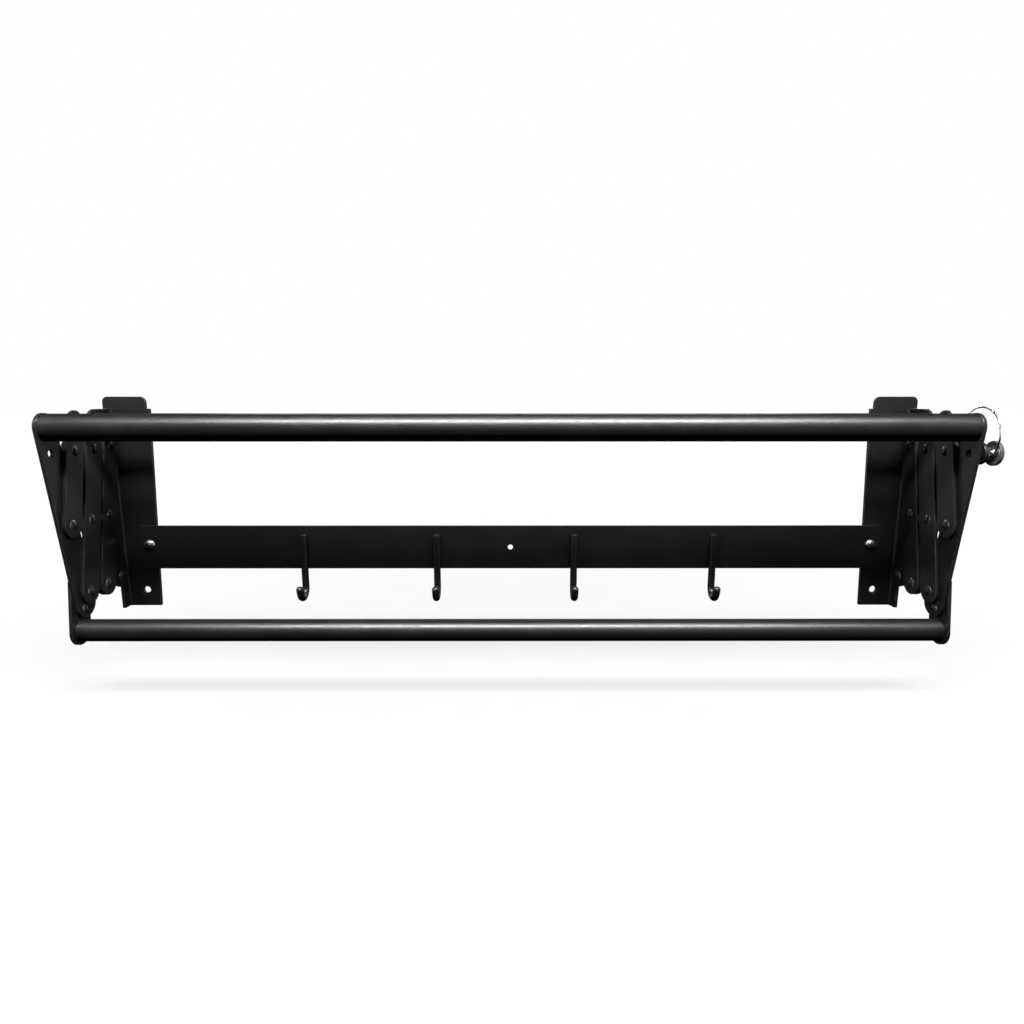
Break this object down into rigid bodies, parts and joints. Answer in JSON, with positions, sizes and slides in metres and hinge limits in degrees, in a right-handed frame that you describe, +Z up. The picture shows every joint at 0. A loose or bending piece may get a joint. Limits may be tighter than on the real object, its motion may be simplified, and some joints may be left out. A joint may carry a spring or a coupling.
{
  "type": "wall-mounted folding drying rack",
  "caption": "Wall-mounted drying rack that folds out on lazy-tongs side frames, with a front bar, a lower bar, drying rods, a back strip with coat hooks and a lock pin.",
  "frame": {"origin": "centre of the four wall screw holes, on the wall plane at the back of the brackets", "axes": "+X to the right seen from the front, +Z up, the rack folds out towards -Y and +Y points into the wall"},
  "size_m": [0.7637, 0.106, 0.2105],
  "materials": {
    "black_powder_coat": "satin black powder coat with fine orange peel",
    "black_rivet": "gloss black, slightly worn on the domes",
    "black_nylon": "matt",
    "nickel_screw": "satin nickel",
    "chrome": "polished",
    "black_knob": "matt moulded face"
  },
  "bodies": {
    "wall_frame": {"wall_bracket_left": "black_powder_coat", "wall_bracket_right": "black_powder_coat", "back_strip": "black_powder_coat", "strip_screws": "nickel_screw", "coat_hook_1": "black_powder_coat", "coat_hook_2": "black_powder_coat", "coat_hook_3": "black_powder_coat", "coat_hook_4": "black_powder_coat", "top_pivot_rivet_left": "black_rivet", "top_pivot_rivet_right": "black_rivet", "top_pivot_bush_left": "black_nylon", "top_pivot_bush_right": "black_nylon", "slot_stop_rivets": "black_rivet", "lock_arm": "black_powder_coat", "lock_arm_rivets": "black_rivet"},
    "rear_inner_left": {"rear_inner_link_left": "black_powder_coat", "rear_inner_rivets_left": "black_rivet", "rear_inner_washers_left": "black_nylon"},
    "rear_outer_left": {"rear_outer_link_left": "black_powder_coat", "slide_pin_left": "black_rivet", "slide_washer_left": "black_nylon"},
    "middle_outer_left": {"middle_outer_link_left": "black_powder_coat"},
    "middle_inner_left": {"middle_inner_link_left": "black_powder_coat", "middle_inner_rivets_left": "black_rivet", "middle_inner_washers_left": "black_nylon", "rear_drying_rod": "black_powder_coat", "rear_drying_rod_nuts": "black_rivet"},
    "front_inner_left": {"front_inner_link_left": "black_powder_coat", "front_inner_rivets_left": "black_rivet", "front_inner_washers_left": "black_nylon", "front_drying_rod": "black_powder_coat", "front_drying_rod_nuts": "black_rivet"},
    "rear_inner_right": {"rear_inner_link_right": "black_powder_coat", "rear_inner_rivets_right": "black_rivet", "rear_inner_washers_right": "black_nylon"},
    "rear_outer_right": {"rear_outer_link_right": "black_powder_coat", "slide_pin_right": "black_rivet", "slide_washer_right": "black_nylon"},
    "middle_outer_right": {"middle_outer_link_right": "black_powder_coat"},
    "middle_inner_right": {"middle_inner_link_right": "black_powder_coat", "middle_inner_rivets_right": "black_rivet", "middle_inner_washers_right": "black_nylon"},
    "front_inner_right": {"front_inner_link_right": "black_powder_coat", "front_inner_rivets_right": "black_rivet", "front_inner_washers_right": "black_nylon"},
    "front_frame": {"front_bar": "black_powder_coat", "lower_bar": "black_powder_coat", "front_side_plate_left": "black_powder_coat", "front_side_plate_right": "black_powder_coat", "lower_bar_bracket_left": "black_powder_coat", "lower_bar_bracket_right": "black_powder_coat", "bracket_rivets": "black_rivet", "bar_end_plugs": "black_nylon", "bar_screws": "black_rivet"},
    "lock_pin": {"lock_pin": "chrome", "lock_knob": "black_knob"},
    "lock_ring": {"lock_ring": "chrome"}
  },
  "joints": [
    {"name": "rack_fold", "type": "hinge", "parent": "wall_frame", "child": "rear_inner_left", "pos_m": [-0.365, -0.0184, 0.0622], "axis": [-1, 0, 0], "range_deg": [0, 48]},
    {"name": "rear_cross_left", "type": "hinge", "parent": "rear_inner_left", "child": "rear_outer_left", "pos_m": [-0.365, -0.0308, 0.0016], "axis": [1, 0, 0], "range_deg": [0, 96]},
    {"name": "rear_foot_left", "type": "hinge", "parent": "rear_inner_left", "child": "middle_outer_left", "pos_m": [-0.365, -0.0432, -0.059], "axis": [1, 0, 0], "range_deg": [0, 96]},
    {"name": "middle_cross_left", "type": "hinge", "parent": "middle_outer_left", "child": "middle_inner_left", "pos_m": [-0.365, -0.0556, 0.0016], "axis": [-1, 0, 0], "range_deg": [0, 96]},
    {"name": "front_top_left", "type": "hinge", "parent": "middle_outer_left", "child": "front_inner_left", "pos_m": [-0.365, -0.068, 0.0622], "axis": [-1, 0, 0], "range_deg": [0, 96]},
    {"name": "rack_fold_right", "type": "hinge", "parent": "wall_frame", "child": "rear_inner_right", "pos_m": [0.365, -0.0184, 0.0622], "axis": [-1, 0, 0], "range_deg": [0, 48]},
    {"name": "rear_cross_right", "type": "hinge", "parent": "rear_inner_right", "child": "rear_outer_right", "pos_m": [0.365, -0.0308, 0.0016], "axis": [1, 0, 0], "range_deg": [0, 96]},
    {"name": "rear_foot_right", "type": "hinge", "parent": "rear_inner_right", "child": "middle_outer_right", "pos_m": [0.365, -0.0432, -0.059], "axis": [1, 0, 0], "range_deg": [0, 96]},
    {"name": "middle_cross_right", "type": "hinge", "parent": "middle_outer_right", "child": "middle_inner_right", "pos_m": [0.365, -0.0556, 0.0016], "axis": [-1, 0, 0], "range_deg": [0, 96]},
    {"name": "front_top_right", "type": "hinge", "parent": "middle_outer_right", "child": "front_inner_right", "pos_m": [0.365, -0.068, 0.0622], "axis": [-1, 0, 0], "range_deg": [0, 96]},
    {"name": "front_foot", "type": "hinge", "parent": "middle_inner_left", "child": "front_frame", "pos_m": [-0.365, -0.068, -0.059], "axis": [1, 0, 0], "range_deg": [0, 96]},
    {"name": "lock_pin_slide", "type": "slide", "parent": "wall_frame", "child": "lock_pin", "axis": [1, 0, 0], "range_m": [-0.0045, 0.01]},
    {"name": "lock_ring_swing", "type": "hinge", "parent": "lock_pin", "child": "lock_ring", "pos_m": [0.3813, -0.0928, 0.0622], "axis": [1, 0, 0], "range_deg": [-150, 150]}
  ],
  "couplings": [
    {"joint": "rear_cross_left", "follows": "rack_fold", "ratio": 2},
    {"joint": "rear_foot_left", "follows": "rack_fold", "ratio": 2},
    {"joint": "middle_cross_left", "follows": "rack_fold", "ratio": 2},
    {"joint": "front_top_left", "follows": "rack_fold", "ratio": 2},
    {"joint": "rack_fold_right", "follows": "rack_fold", "ratio": 1},
    {"joint": "rear_cross_right", "follows": "rack_fold", "ratio": 2},
    {"joint": "rear_foot_right", "follows": "rack_fold", "ratio": 2},
    {"joint": "middle_cross_right", "follows": "rack_fold", "ratio": 2},
    {"joint": "front_top_right", "follows": "rack_fold", "ratio": 2},
    {"joint": "front_foot", "follows": "rack_fold", "ratio": 2}
  ]
}
